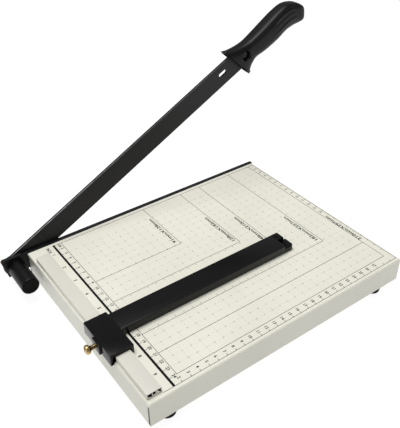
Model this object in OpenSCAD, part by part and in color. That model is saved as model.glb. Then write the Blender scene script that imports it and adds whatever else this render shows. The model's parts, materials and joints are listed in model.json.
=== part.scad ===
// Desk paper trimmer: a sheet-steel board with a hinged blade arm along its back edge,
// a sliding paper guide on a side rail, and a spring-loaded pivot beside the board.
// The cut runs along X, the board's front is at -Y, and Z = 0 is the table under the feet.

/* [Board] */
// Length of the board along the cut
base_w = 318; // [280:1:360]
// Depth of the board from the cut to the front edge
base_d = 249; // [220:1:280]
// Height of the folded side walls
base_h = 28; // [25:0.5:34]
// Thickness of the sheet steel
sheet_t = 1.2; // [0.8:0.1:1.6]
// Rounding of the folded top edges
edge_r = 2; // [1.6:0.1:2.6]
// Width of the flange turned in under the front and back walls
flange_w = 24; // [21:0.5:30]
// Width of the folded ribs that stiffen the board
rib_w = 24; // [16:1:30]
// Height of the folded ribs
rib_h = 12; // [8:0.5:15]

/* [Feet] */
// Diameter of a rubber foot at its wide end
foot_d = 20; // [14:0.5:20.5]
// Height of a rubber foot
foot_h = 7.5; // [5:0.5:10]
// Distance of the feet from the front and back walls
foot_in_y = 10.5; // [10.5:0.5:13]
// Distance of the feet from the pivot-end wall
foot_in_left = 23; // [14:0.5:34]
// Distance of the feet from the handle-end wall
foot_in_right = 27.5; // [20:0.5:45]

/* [Bed knife] */
// Thickness of the fixed knife
knife_t = 4.4; // [3:0.1:6]
// Height of the fixed knife
knife_h = 20; // [16:0.5:23]
// Overhang of the fixed knife past the handle-end wall
knife_over = 1.2; // [0:0.1:4]
// Number of screws that hold the fixed knife
knife_screws_n = 4; // [3:1:6]

/* [Pivot] */
// Distance of the pivot axis from the pivot-end wall
pivot_out = 15; // [12.5:0.5:20]
// Depth of the pivot axis below the board's face
pivot_drop = 11.7; // [9:0.1:13]
// Diameter of the pivot bolt
bolt_d = 8; // [6:0.5:9]
// Diameter of the cap over the pivot spring
cap_d = 19.6; // [18:0.2:22]
// Length of the cap over the pivot spring
cap_l = 40; // [36:0.5:50]
// Wall of the cap
cap_wall = 1.6; // [1:0.1:2]
// Wire diameter of the pivot spring
spring_wire = 1.8; // [1.2:0.1:2]
// Number of turns of the pivot spring
spring_turns = 6; // [4:1:7]

/* [Blade arm] */
// Angle of the open blade arm above the board
arm_angle = 27.4; // [10:0.1:60]
// Width of the blade arm
arm_w = 25.8; // [22:0.2:30]
// Distance of the blade arm's centre line below its pivot
arm_drop = 1.6; // [0:0.1:3]
// Thickness of the blade arm
arm_t = 3; // [2:0.1:4]
// Distance from the pivot to the end of the full-width arm
arm_l = 352; // [340:1:390]
// Length of the tang inside the handle
tang_l = 64; // [40:1:70]
// Width of the tang
tang_w = 15; // [10:0.5:17]
// Length of the oblong slot near the handle
slot_l = 12; // [8:0.5:18]
// Width of the oblong slot near the handle
slot_w = 5.4; // [2.5:0.1:7]
// Height of the ground bevel along the cutting edge
bevel_h = 5; // [2:0.5:8]

/* [Handle] */
// Length of the handle from guard to pommel
handle_l = 110.5; // [95:0.5:130]
// Height of the grip
grip_h = 29; // [25:0.5:32]
// Thickness of the grip
grip_t = 24; // [21:0.5:27]
// Height of the guard
guard_h = 51; // [42:1:56]
// Diameter of the handle's screw
handle_screw_d = 4; // [3:0.5:5]

/* [Guide rail] */
// Width of the rail at its foot
rail_w = 15.5; // [14:0.5:18]
// Height of the rail above the board
rail_h = 6; // [5:0.5:8]
// Length of the rail
rail_l = 222; // [190:1:230]
// Distance of the rail from the front wall
rail_in_front = 6; // [4:0.5:10]
// Wall of the hollow rail
rail_wall = 0.8; // [0.7:0.1:1.2]

/* [Guide] */
// Distance of the guide's head from the front wall
guide_in_front = 57.5; // [20:0.5:100]
// Length of the guide's head along the rail
head_l = 51; // [46:0.5:60]
// Thickness of the head above the rail
head_top = 4.4; // [4:0.1:6]
// Thickness of the head's two skirts
head_wall = 3; // [2.5:0.1:4]
// Width of the guide bar
bar_w = 24.3; // [20:0.1:27]
// Length of the guide bar past the head
bar_l = 204; // [150:1:230]
// Wall of the hollow guide bar
bar_wall = 1.5; // [1.2:0.1:2]
// Diameter of the thumb screw's shank
thumb_d = 4.4; // [3:0.1:4.6]
// Diameter of the thumb screw's head
thumb_head_d = 9.4; // [7:0.2:10.4]
// Length of the thumb screw outside the head
thumb_out = 10.4; // [9:0.2:16]

/* [Hidden] */
$fn = 48;
// Clearance of a turning or sliding fit
run = 0.05;
// Clearance between flat faces that slide
glide = 0.15;
// Clearance of a piece set in a pocket
seat = 0.1;
// Extra depth of a cut
over = 1;
board_z = foot_h + base_h;
left_x = -base_w / 2;
right_x = base_w / 2;
back_y = base_d / 2;
front_y = -base_d / 2;
pivot_x = left_x - pivot_out;
pivot_z = board_z - pivot_drop;
ear_y = back_y;
knife_back = back_y + knife_t;
arm_y = knife_back + glide;
arm_mid = arm_y + arm_t / 2;
arm_back = arm_y + arm_t;
screw_d = 4;
screw_head_d = 7.2;
screw_head_h = 2.2;
knife_screw_reach = knife_t - 1.2;
knife_screw_z = board_z - knife_h * 0.55;
washer_t = 1;
bolt_head_h = 5;
bolt_head_d = bolt_d * 1.8;
nut_h = bolt_d * 0.7;
nut_d = bolt_d * 1.6;
cap_end = 2;
cap_bore = cap_d / 2 - cap_wall;
spring_r = cap_bore - spring_wire / 2 - 0.6;
spring_l = cap_l - cap_end - nut_h - washer_t - 5;
nut_y = ear_y - spring_l - washer_t;
rail_x = left_x + edge_r;
rail_lean = rail_h * 0.1;
rail_y0 = front_y + rail_in_front;
rail_screw_x = rail_x + (rail_w - rail_lean) / 2;
rail_screw_d = 3;
rail_screw_up = 3.6;
head_x = left_x - 0.4 - head_wall;
head_x1 = rail_x + rail_w + 0.6 + head_wall;
head_z0 = board_z + rail_h + glide;
head_z1 = head_z0 + head_top;
head_y0 = front_y + guide_in_front;
head_y1 = head_y0 + head_l;
skirt_drop = 3;
bar_gap = 0.4;
bar_z0 = board_z + bar_gap;
bar_z1 = head_z1 - 0.6;
bar_y1 = head_y1 - 3.6;
bar_y0 = bar_y1 - bar_w;
spigot_l = 18;
cap_plug_l = 8;
bar_cap_l = 12.4;
bar_screw_d = 3;
thumb_z = board_z + thumb_d / 2 + 0.5;
thumb_y = head_y0 + head_l / 2;
boss_w = 14;
boss_out = 2.2;
clamp_nut_w = 7;
clamp_nut_t = 2.4;
thumb_head_t = 5;
handle_s0 = arm_l - 8;
handle_screw_s = handle_s0 + 12;
handle_screw_t = 1.8;
handle_screw_head = handle_screw_d * 1.9;
handle_recess = 8;
handle_nut_recess = 6;
handle_recess_d = handle_screw_d * 2.5;
handle_nut_d = handle_screw_d * 2;

// Places that repeat
foot_x = [left_x + foot_in_left, right_x - foot_in_right];
foot_y = [front_y + foot_in_y, back_y - foot_in_y];
foot_xy = [for (x = foot_x, y = foot_y) [x, y]];
knife_screw_x = [for (i = [0 : knife_screws_n - 1]) left_x + base_w * (i + 0.5) / knife_screws_n];
rail_screw_y = [for (i = [0 : 2]) rail_y0 + rail_l * (0.12 + 0.38 * i)];
rib_x = [left_x + base_w * 0.36, left_x + base_w * 0.68];
rib_l = base_d - 2 * flange_w - 6;
rivet_y = [for (i = [-1 : 1]) i * rib_l * 0.4];
bar_screw_x = head_x1 + spigot_l / 2;
bar_screw_y = [for (i = [-1, 1]) (bar_y0 + bar_y1) / 2 + i * bar_w * 0.24];

// A cylinder along Y from y0 to y1
module along_y(r, y0, y1, x = 0, z = 0) {
    translate([x, y1, z])
        rotate([90, 0, 0])
            cylinder(r = r, h = y1 - y0);
}

// A cylinder along X from x0 to x1
module along_x(r, x0, x1, y = 0, z = 0) {
    translate([x0, y, z])
        rotate([0, 90, 0])
            cylinder(r = r, h = x1 - x0);
}

// A flat outline in X and Z, raised along Y from y0 to y1
module plate_y(y0, y1) {
    translate([0, y1, 0])
        rotate([90, 0, 0])
            linear_extrude(y1 - y0)
                children();
}

// The blade arm's own frame: pivot at the origin, arm along X, mid-thickness at y = 0
module at_arm() {
    translate([pivot_x, arm_mid, pivot_z])
        rotate([0, -arm_angle, 0])
            children();
}

// One pan-head screw pointing up, its head's seat at z = 0
module pan_screw(d, head_d, head_h, l) {
    translate([0, 0, -head_h])
        cylinder(d = head_d, h = head_h);
    cylinder(d = d, h = l);
}

// The outline of the board's section: an upside-down tray with rounded shoulders
module tray_outline(w, h, r) {
    translate([-w / 2, 0])
        square([w, h - r]);
    translate([-w / 2 + r, h - r])
        square([w - 2 * r, r]);
    for (s = [-1, 1])
        translate([s * (w / 2 - r), h - r])
            circle(r);
}

// A solid tray body with rounded shoulders on all four sides
module tray_body(w, d, h, r) {
    intersection() {
        translate([0, d / 2, 0])
            rotate([90, 0, 0])
                linear_extrude(d)
                    tray_outline(w, h, r);
        translate([-w / 2, 0, 0])
            rotate([90, 0, 90])
                linear_extrude(w)
                    tray_outline(d, h, r);
    }
}

module base_shell() {
    inner_w = base_w - 2 * sheet_t;
    inner_d = base_d - 2 * sheet_t;
    color("#ECEADE")
        difference() {
            translate([0, 0, foot_h])
                tray_body(base_w, base_d, base_h, edge_r);
            translate([0, 0, foot_h + sheet_t])
                tray_body(inner_w, inner_d, base_h - 2 * sheet_t, edge_r - sheet_t + 0.2);
            translate([left_x + sheet_t, front_y + flange_w, foot_h - over])
                cube([inner_w, base_d - 2 * flange_w, 2 * over + sheet_t]);
            for (p = foot_xy)
                translate([p[0], p[1], foot_h - over])
                    cylinder(d = screw_d + 2 * seat, h = sheet_t + 2 * over);
            for (y = rail_screw_y)
                translate([rail_screw_x, y, board_z - sheet_t - over])
                    cylinder(d = rail_screw_d + 2 * seat, h = sheet_t + 2 * over);
            for (x = knife_screw_x)
                along_y(screw_d / 2 + seat, back_y - sheet_t - over, back_y + over, x, knife_screw_z);
        }
}

module stiffener_ribs() {
    color("#8F9290")
        for (x = rib_x)
            translate([x, 0, board_z - sheet_t - rib_h])
                difference() {
                    translate([-rib_w / 2, -rib_l / 2, 0])
                        cube([rib_w, rib_l, rib_h]);
                    translate([-rib_w / 2 + sheet_t, -rib_l / 2 - over, -over])
                        cube([rib_w - 2 * sheet_t, rib_l + 2 * over, rib_h - sheet_t + over]);
                    for (y = rivet_y)
                        translate([0, y, rib_h - sheet_t - over])
                            cylinder(d = screw_d + 2 * seat, h = sheet_t + 2 * over);
                }
}

module rib_rivets() {
    color("#B8BAB8")
        for (x = rib_x, y = rivet_y)
            translate([x, y, board_z - 2 * sheet_t])
                pan_screw(screw_d, screw_head_d, screw_head_h * 0.6, sheet_t);
}

module feet() {
    color("#1A1A1A")
        for (p = foot_xy)
            translate([p[0], p[1], 0])
                difference() {
                    cylinder(d1 = foot_d * 0.9, d2 = foot_d, h = foot_h);
                    translate([0, 0, -over])
                        cylinder(d = screw_head_d + 2 * seat, h = foot_h * 0.5 + over);
                    cylinder(d = screw_d + 2 * seat, h = foot_h + over);
                }
}

module foot_screws() {
    color("#B8BAB8")
        for (p = foot_xy)
            translate([p[0], p[1], foot_h * 0.5])
                pan_screw(screw_d, screw_head_d, screw_head_h, foot_h * 0.5 + sheet_t + 2);
}

// Section of the rail: a flat top, upright sides, two three-sided cells with their
// points at the rail's lower corners, and a square screw port between them
module rail_section() {
    top_w = rail_w - rail_lean;
    port = 3;
    cell_z = rail_h - rail_wall;
    cell_w = (top_w - port) / 2 - 2 * rail_wall;
    difference() {
        polygon([[0, 0], [0, rail_h], [top_w, rail_h], [rail_w, 0]]);
        translate([(top_w - port) / 2, cell_z - port])
            square(port);
        polygon([[rail_wall, cell_z], [rail_wall + cell_w, cell_z], [rail_wall, rail_wall]]);
        polygon([[top_w - rail_wall, cell_z], [top_w - rail_wall - cell_w, cell_z],
            [top_w - rail_wall, rail_wall]]);
    }
}

module fence_rail() {
    color("#DEDCD6")
        difference() {
            translate([rail_x, 0, board_z])
                plate_y(rail_y0, rail_y0 + rail_l)
                    rail_section();
            for (y = rail_screw_y)
                translate([rail_screw_x, y, board_z - over])
                    cylinder(d = rail_screw_d + 2 * seat, h = rail_screw_up + over + seat);
        }
}

module rail_screws() {
    color("#B8BAB8")
        for (y = rail_screw_y)
            translate([rail_screw_x, y, board_z - sheet_t])
                pan_screw(rail_screw_d, rail_screw_d * 1.9, rail_screw_d * 0.6, sheet_t + rail_screw_up);
}

// The fixed knife with the ear that carries the pivot past the end of the board
module bed_knife() {
    ear_up = 1;
    ear_out = 14.5;
    ear_low = 10.8;
    ear_in = pivot_out * 0.6;
    color("#232325")
        difference() {
            plate_y(ear_y, knife_back)
                polygon([[right_x + knife_over, board_z], [right_x + knife_over, board_z - knife_h],
                    [left_x - 2, board_z - knife_h], [pivot_x - ear_out * 0.66, pivot_z - ear_low],
                    [pivot_x - ear_out, pivot_z + pivot_drop - 1], [pivot_x - ear_out + 2, board_z + ear_up],
                    [pivot_x + ear_in, board_z + ear_up], [pivot_x + ear_in + 2, board_z]]);
            along_y(bolt_d / 2 + run, ear_y - over, knife_back + over, pivot_x, pivot_z);
            for (x = knife_screw_x)
                along_y(screw_d / 2 + run, ear_y - over, ear_y + knife_screw_reach + seat, x, knife_screw_z);
        }
}

module knife_screws() {
    color("#B8BAB8")
        for (x = knife_screw_x)
            translate([x, back_y - sheet_t, knife_screw_z])
                rotate([-90, 0, 0])
                    pan_screw(screw_d, screw_head_d, screw_head_h, sheet_t + knife_screw_reach);
}

module pivot_bolt() {
    color("#A9ABAD") {
        along_y(bolt_d / 2, nut_y - nut_h - 1.5, arm_back + washer_t + glide, pivot_x, pivot_z);
        translate([pivot_x, arm_back + washer_t + glide, pivot_z])
            rotate([-90, 0, 0])
                cylinder(d = bolt_head_d, h = bolt_head_h, $fn = 6);
    }
}

module washer_y(r, bore, y0, y1) {
    difference() {
        along_y(r, y0, y1, pivot_x, pivot_z);
        along_y(bore, y0 - over, y1 + over, pivot_x, pivot_z);
    }
}

module pivot_rear_washer() {
    color("#A9ABAD")
        washer_y(bolt_head_d * 0.6, bolt_d / 2 + run, arm_back + glide, arm_back + glide + washer_t);
}

module pivot_spring_washer() {
    color("#A9ABAD")
        washer_y(cap_bore - seat, bolt_d / 2 + run, nut_y, nut_y + washer_t);
}

module pivot_nut() {
    color("#A9ABAD")
        difference() {
            translate([pivot_x, nut_y, pivot_z])
                rotate([90, 0, 0])
                    cylinder(d = nut_d, h = nut_h, $fn = 6);
            along_y(bolt_d / 2 + run, nut_y - nut_h - over, nut_y + over, pivot_x, pivot_z);
        }
}

// The spring is one tube along a helix, between the ear and its washer
spring_rings = 8;
spring_sides = 6;
spring_pitch = (spring_l - spring_wire - 0.4) / spring_turns;
function spring_at(i) = let (a = 360 * i / spring_rings)
    [spring_r * cos(a), spring_r * sin(a), spring_wire / 2 + 0.2 + spring_pitch * i / spring_rings];
function spring_ring(i) = let (a = 360 * i / spring_rings, c = spring_at(i))
    [for (k = [0 : spring_sides - 1]) let (b = 360 * k / spring_sides)
        c + spring_wire / 2 * [cos(b) * cos(a), cos(b) * sin(a), sin(b)]];
spring_gap = min([for (i = [0 : spring_rings - 1], j = [spring_rings * 0.5 : spring_turns * spring_rings])
    if (j - i > spring_rings / 2) norm(spring_at(i) - spring_at(j)) - spring_wire]);
echo(least_gap_between_spring_turns = spring_gap);

// A closed tube through rings of points, as triangles
module skin(rings) {
    n = len(rings[0]);
    m = len(rings);
    points = [for (r = rings) each r];
    sides = [for (i = [0 : m - 2], k = [0 : n - 1]) let (a = i * n + k, b = i * n + (k + 1) % n)
        each [[a, b, b + n], [a, b + n, a + n]]];
    ends = [for (k = [1 : n - 2]) each [[0, k + 1, k], [(m - 1) * n, (m - 1) * n + k, (m - 1) * n + k + 1]]];
    polyhedron(points, concat(sides, ends));
}

module pivot_spring() {
    color("#C8CACC")
        translate([pivot_x, ear_y, pivot_z])
            rotate([90, 0, 0])
                skin([for (i = [0 : spring_turns * spring_rings]) spring_ring(i)]);
}

module pivot_cap() {
    lip = 1.2;
    color("#1E1E20")
        translate([pivot_x, ear_y, pivot_z])
            rotate([90, 0, 0])
                rotate_extrude()
                    polygon([[0, cap_l - cap_end], [cap_bore, cap_l - cap_end], [cap_bore, 0],
                        [cap_d / 2, 0], [cap_d / 2, cap_l - lip], [cap_d / 2 - lip, cap_l], [0, cap_l]]);
}

// The blade arm: a flat bar with a round pivot end, a ground lower edge, a slot and a tang
module blade_arm() {
    slot_s = arm_l - 29.3;
    slot_t = 1.1 - arm_drop;
    edge_flat = 0.6;
    low = -arm_drop - arm_w / 2;
    color("#29292B")
        at_arm()
            difference() {
                plate_y(-arm_t / 2, arm_t / 2) {
                    translate([0, -arm_drop])
                        circle(d = arm_w);
                    translate([0, low])
                        square([arm_l, arm_w]);
                    translate([arm_l - over, -arm_drop - tang_w / 2])
                        square([tang_l + over, tang_w]);
                }
                along_y(bolt_d / 2 + run, -arm_t, arm_t);
                plate_y(-arm_t, arm_t) {
                    for (s = [-1, 1])
                        translate([slot_s + s * (slot_l - slot_w) / 2, slot_t])
                            circle(d = slot_w);
                    translate([slot_s - (slot_l - slot_w) / 2, slot_t - slot_w / 2])
                        square([slot_l - slot_w, slot_w]);
                }
                along_y(handle_screw_d / 2 + seat, -arm_t, arm_t, handle_screw_s, handle_screw_t);
                rotate([90, 0, 90])
                    translate([0, low, arm_w / 2])
                        linear_extrude(arm_l - arm_w / 2 + over)
                            polygon([[arm_t / 2 + over, -over], [-arm_t / 2 + edge_flat, -over],
                                [-arm_t / 2 + edge_flat, 0], [arm_t / 2, bevel_h],
                                [arm_t / 2 + over, bevel_h]]);
            }
}

// Handle stations: share of the length, centre height, half height, half thickness, lean of the section
grip_a = grip_h / 2;
grip_b = grip_t / 2;
guard_a = guard_h / 2;
handle_stations = [
    [0.00, -2.6, guard_a, grip_b - 2.5, 0.38],
    [0.04, -2.0, guard_a - 4.4, grip_b - 2, 0.36],
    [0.12, -1.2, grip_a + 1.4, grip_b - 1.4, 0.26],
    [0.22, -0.9, grip_a - 1.5, grip_b - 1.4, 0.14],
    [0.36, -1.3, grip_a - 0.6, grip_b - 0.4, 0.04],
    [0.54, -0.5, grip_a + 0.6, grip_b, 0],
    [0.68, 0.8, grip_a + 0.5, grip_b - 0.4, 0],
    [0.80, -0.6, grip_a + 0.9, grip_b - 0.9, -0.06],
    [0.90, -5.7, grip_a - 1.1, grip_b - 1.8, -0.2],
    [0.97, -11.2, grip_a - 5.3, grip_b - 3.6, -0.36],
    [1.00, -13.0, grip_a - 10.0, grip_b - 8.2, -0.44]];
// Smooth curve through the stations, as a Catmull-Rom spline
function station(i) = handle_stations[max(0, min(len(handle_stations) - 1, i))];
function between(i, t) = let (a = station(i - 1), b = station(i), c = station(i + 1), d = station(i + 2))
    0.5 * (2 * b + (c - a) * t + (2 * a - 5 * b + 4 * c - d) * t * t + (3 * b - a - 3 * c + d) * t * t * t);
handle_steps = 3;
handle_sides = 32;
handle_rows = [for (i = [0 : len(handle_stations) - 2], k = [0 : handle_steps - 1])
    between(i, k / handle_steps)];
function handle_ring(r) = [for (k = [0 : handle_sides - 1]) let (a = -360 * k / handle_sides,
    t = r[2] * sign(sin(a)) * pow(abs(sin(a)), 0.8), v = r[3] * sign(cos(a)) * pow(abs(cos(a)), 0.8))
    [handle_s0 + handle_l * r[0] - r[4] * t, v, r[1] + t]];

module handle() {
    color("#232324")
        at_arm()
            difference() {
                skin([for (r = concat(handle_rows, [station(len(handle_stations) - 1)])) handle_ring(r)]);
                translate([handle_s0 - guard_h, -arm_t / 2 - seat, -arm_drop - arm_w / 2 - seat])
                    cube([guard_h + arm_l - handle_s0 + seat, arm_t + 2 * seat, arm_w + 2 * seat]);
                translate([handle_s0, -arm_t / 2 - seat, -arm_drop - tang_w / 2 - seat])
                    cube([arm_l + tang_l - handle_s0 + seat, arm_t + 2 * seat, tang_w + 2 * seat]);
                along_y(handle_screw_d / 2 + seat, -grip_t, grip_t, handle_screw_s, handle_screw_t);
                along_y(handle_recess_d / 2, -grip_t, -grip_b + handle_recess,
                    handle_screw_s, handle_screw_t);
                along_y(handle_nut_d / 2 + 2 * seat, grip_b - handle_nut_recess, grip_t,
                    handle_screw_s, handle_screw_t);
            }
}

module handle_screw() {
    screw_l = grip_t - handle_recess - 2.5;
    color("#B8BAB8")
        at_arm()
            translate([handle_screw_s, -grip_b + handle_recess, handle_screw_t])
                rotate([-90, 0, 0])
                    pan_screw(handle_screw_d, handle_screw_head, handle_screw_d * 0.6, screw_l);
}

module handle_nut() {
    color("#B8BAB8")
        at_arm()
            difference() {
                translate([handle_screw_s, grip_b - handle_nut_recess, handle_screw_t])
                    rotate([-90, 0, 0])
                        cylinder(d = handle_nut_d, h = handle_screw_d * 0.75, $fn = 6);
                along_y(handle_screw_d / 2 + run, 0, grip_t, handle_screw_s, handle_screw_t);
            }
}

// The guide's head: a saddle over the rail with an outer skirt down the board's wall,
// a boss round the thumb screw and a spigot that carries the bar
module guide_head() {
    boss_z0 = thumb_z - 5;
    pocket_w = clamp_nut_w + 2 * seat;
    spigot_h = bar_z1 - bar_z0 - 2 * bar_wall - 2 * seat;
    color("#1F1F21")
        difference() {
            union() {
                plate_y(head_y0, head_y1)
                    polygon([[head_x, board_z - skirt_drop], [head_x, head_z1 - 0.8], [head_x + 0.8, head_z1],
                        [head_x1 - 0.8, head_z1], [head_x1, head_z1 - 0.8], [head_x1, bar_z0],
                        [head_x1 - head_wall, bar_z0], [head_x1 - head_wall - rail_lean * 0.5, head_z0],
                        [head_x + head_wall, head_z0], [head_x + head_wall, board_z - skirt_drop]]);
                translate([head_x - boss_out, thumb_y - boss_w / 2, boss_z0])
                    cube([boss_out + over, boss_w, head_z1 - 0.8 - boss_z0]);
                translate([head_x1 - over, bar_y0 + bar_wall + seat, bar_z0 + bar_wall + seat])
                    cube([spigot_l + over, bar_w - 2 * bar_wall - 2 * seat, spigot_h]);
            }
            along_x(thumb_d / 2 + 0.3, head_x - boss_out - over, head_x + head_wall + over, thumb_y, thumb_z);
            translate([head_x - boss_out + over, thumb_y - pocket_w / 2, thumb_z - pocket_w / 2])
                cube([clamp_nut_t + 2 * seat, pocket_w, pocket_w]);
            for (y = bar_screw_y)
                translate([bar_screw_x, y, bar_z0])
                    cylinder(d = bar_screw_d + 2 * run, h = bar_z1 - bar_z0 - bar_wall - 0.6);
        }
}

module guide_bar() {
    color("#1D1D1F")
        difference() {
            translate([head_x1, bar_y0, bar_z0])
                cube([bar_l, bar_w, bar_z1 - bar_z0]);
            translate([head_x1 - over, bar_y0 + bar_wall, bar_z0 + bar_wall])
                cube([bar_l + 2 * over, bar_w - 2 * bar_wall, bar_z1 - bar_z0 - 2 * bar_wall]);
            for (y = bar_screw_y)
                translate([bar_screw_x, y, bar_z0 - over])
                    cylinder(d = bar_screw_d * 1.9 + 2 * seat, h = bar_wall + 2 * over);
        }
}

// The plug that closes the bar's free end: a full-height back half with a sloped end,
// and a lower, longer front half with a cut corner
module guide_end_cap() {
    x1 = head_x1 + bar_l;
    high = bar_z1 - bar_z0;
    split = bar_y0 + bar_w * 0.55;
    back_l = bar_cap_l - 2;
    corner = 2.4;
    color("#252527") {
        translate([x1 - cap_plug_l, bar_y0 + bar_wall + seat, bar_z0 + bar_wall + seat])
            cube([cap_plug_l + over, bar_w - 2 * bar_wall - 2 * seat, high - 2 * bar_wall - 2 * seat]);
        translate([x1, 0, bar_z0])
            plate_y(split, bar_y1)
                polygon([[0, 0], [back_l, 0], [back_l - 1.2, high], [0, high]]);
        translate([x1, bar_y0, bar_z0])
            linear_extrude(high * 0.64)
                polygon([[0, 0], [bar_cap_l - corner, 0], [bar_cap_l, corner],
                    [bar_cap_l, split - bar_y0 + over], [0, split - bar_y0 + over]]);
    }
}

module bar_screws() {
    color("#B8BAB8")
        for (y = bar_screw_y)
            translate([bar_screw_x, y, bar_z0 + bar_wall + seat])
                pan_screw(bar_screw_d, bar_screw_d * 1.9, bar_wall - 0.2, 4);
}

module clamp_nut() {
    color("#B98F4A")
        difference() {
            translate([head_x - boss_out + over + seat, thumb_y - clamp_nut_w / 2, thumb_z - clamp_nut_w / 2])
                cube([clamp_nut_t, clamp_nut_w, clamp_nut_w]);
            along_x(thumb_d / 2 + run, head_x - boss_out - over, head_x + head_wall + over, thumb_y, thumb_z);
        }
}

// The thumb screw: a plain shank to the rail's side, a neck and a rounded slotted head
module thumb_screw() {
    x_out = head_x - boss_out - thumb_out;
    slot = 1.2;
    color("#C29A55")
        difference() {
            translate([x_out, thumb_y, thumb_z])
                rotate([0, 90, 0])
                    rotate_extrude()
                        polygon([[0, 0], [thumb_head_d * 0.36, 0], [thumb_head_d / 2, 1.2],
                            [thumb_head_d / 2, thumb_head_t - 0.8], [thumb_head_d * 0.4, thumb_head_t],
                            [thumb_d * 0.62, thumb_head_t + 0.6], [thumb_d / 2, thumb_head_t + 2],
                            [thumb_d / 2, rail_x - x_out - 0.3], [0, rail_x - x_out - 0.3]]);
            translate([x_out - over, thumb_y - slot / 2, thumb_z - thumb_head_d])
                cube([over + 1.4, slot, 2 * thumb_head_d]);
        }
}

base_shell();
stiffener_ribs();
rib_rivets();
feet();
foot_screws();
fence_rail();
rail_screws();
bed_knife();
knife_screws();
pivot_bolt();
pivot_rear_washer();
pivot_spring();
pivot_spring_washer();
pivot_nut();
pivot_cap();
blade_arm();
handle();
handle_screw();
handle_nut();
guide_head();
guide_bar();
guide_end_cap();
bar_screws();
clamp_nut();
thumb_screw();
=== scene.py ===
"""Desk paper trimmer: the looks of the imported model, as an add-on that is run as a script."""

import json
import math

import bmesh
import bpy
import numpy as np
from bpy.props import FloatProperty, FloatVectorProperty, IntProperty, PointerProperty
from mathutils import Matrix, Vector


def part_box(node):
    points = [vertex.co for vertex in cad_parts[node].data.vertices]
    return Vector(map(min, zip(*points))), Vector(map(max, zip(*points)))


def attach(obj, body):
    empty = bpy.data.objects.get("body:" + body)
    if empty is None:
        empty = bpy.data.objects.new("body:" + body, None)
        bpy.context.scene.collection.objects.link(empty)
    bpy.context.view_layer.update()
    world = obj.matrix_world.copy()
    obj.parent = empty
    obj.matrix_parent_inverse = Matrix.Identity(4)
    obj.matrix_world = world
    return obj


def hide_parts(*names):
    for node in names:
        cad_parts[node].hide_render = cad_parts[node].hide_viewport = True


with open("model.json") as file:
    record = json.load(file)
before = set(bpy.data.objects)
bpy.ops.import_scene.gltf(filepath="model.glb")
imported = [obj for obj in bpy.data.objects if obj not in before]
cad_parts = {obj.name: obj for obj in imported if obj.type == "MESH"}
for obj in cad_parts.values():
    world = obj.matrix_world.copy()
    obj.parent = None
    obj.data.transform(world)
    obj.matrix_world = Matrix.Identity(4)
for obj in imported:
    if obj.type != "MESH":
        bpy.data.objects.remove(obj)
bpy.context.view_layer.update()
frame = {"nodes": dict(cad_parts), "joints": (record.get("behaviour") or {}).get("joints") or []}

bl_info = {
    "name": "Desk paper trimmer",
    "version": (1, 0, 0),
    "blender": (4, 5, 0),
    "location": "3D View > Sidebar > Trimmer",
    "description": "Builds the finishes, print, grip and guide of a desk paper trimmer",
    "category": "Object",
}

MM = 0.001
NODES = frame["nodes"]
SHELL_LO, SHELL_HI = (np.array(corner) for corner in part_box("base_shell"))
BOARD_Z = SHELL_HI[2]
JOINTS = {joint["name"]: joint for joint in frame["joints"]}
PIVOT = np.array(JOINTS["arm_hinge"]["pos_m"])
ARM_LO, ARM_HI = (np.array(corner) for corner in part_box("blade_arm"))
ARM_MID_Y = (ARM_LO[1] + ARM_HI[1]) / 2
ARM_THICK = ARM_HI[1] - ARM_LO[1]
# The arm's angle above the board at rest
ARM_ANGLE = math.radians(27.4)
# Zero marks of the printed rulers, from the shell's pivot end and from its back wall
RULER_ZERO_X = SHELL_LO[0] + 16.8 * MM
RULER_ZERO_Y = SHELL_HI[1] + 4.6 * MM


# Colours and numbers

def linear(code):
    """An sRGB hex colour as linear red, green and blue."""
    srgb = np.array([int(code[i:i + 2], 16) for i in (1, 3, 5)]) / 255
    return tuple(np.where(srgb <= 0.04045, srgb / 12.92, ((srgb + 0.055) / 1.055) ** 2.4))


def smooth(x, lo, hi):
    """A step from 0 at lo to 1 at hi, with flat ends: 3t^2 - 2t^3."""
    t = np.clip((np.asarray(x, float) - lo) / (hi - lo), 0, 1)
    return t * t * (3 - 2 * t)


# Settings that a user would change

class TrimmerColours(bpy.types.PropertyGroup):
    """Colours of the trimmer's finishes"""
    cream: FloatVectorProperty(name="Board enamel", description="Baked enamel of the board",
                               subtype="COLOR", default=linear("#EDEBDD"))
    rail: FloatVectorProperty(name="Rail enamel", description="Enamel of the side rail",
                              subtype="COLOR", default=linear("#DCD9CE"))
    black: FloatVectorProperty(name="Black enamel", description="Enamel of the blade arm and fixed knife",
                               subtype="COLOR", default=linear("#141416"))
    plastic: FloatVectorProperty(name="Black plastic", description="Moulded grip, head and cap",
                                 subtype="COLOR", default=linear("#070707"))
    brass: FloatVectorProperty(name="Brass", description="Turned brass of the thumb screw",
                               subtype="COLOR", default=linear("#D0B47C"))
    ink: FloatVectorProperty(name="Ink", description="Ink of the printed rulers",
                             subtype="COLOR", default=linear("#0A0A0A"))


class TrimmerSizes(bpy.types.PropertyGroup):
    """Sizes of the trimmer's looks"""
    line: FloatProperty(name="Line", description="Width of a printed line",
                        unit="LENGTH", default=0.46 * MM)
    bar: FloatProperty(name="Heavy line", description="Width of the heavy printed line",
                       unit="LENGTH", default=2.4 * MM)
    numeral: FloatProperty(name="Numeral", description="Height of a printed numeral",
                           unit="LENGTH", default=3.4 * MM)
    ink_film: FloatProperty(name="Ink film", description="Thickness of the ink",
                            unit="LENGTH", default=0.04 * MM)
    ridge: FloatProperty(name="Grip ridge", description="Height of the ridges on the grip",
                         unit="LENGTH", default=0.7 * MM)
    ridges: IntProperty(name="Grip ridges", description="Number of ridges on each side of the grip",
                        default=3, min=1, max=3)


def colours():
    return bpy.context.scene.trimmer_colours


def sizes():
    return bpy.context.scene.trimmer_sizes


# Meshes worked out as whole arrays

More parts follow.
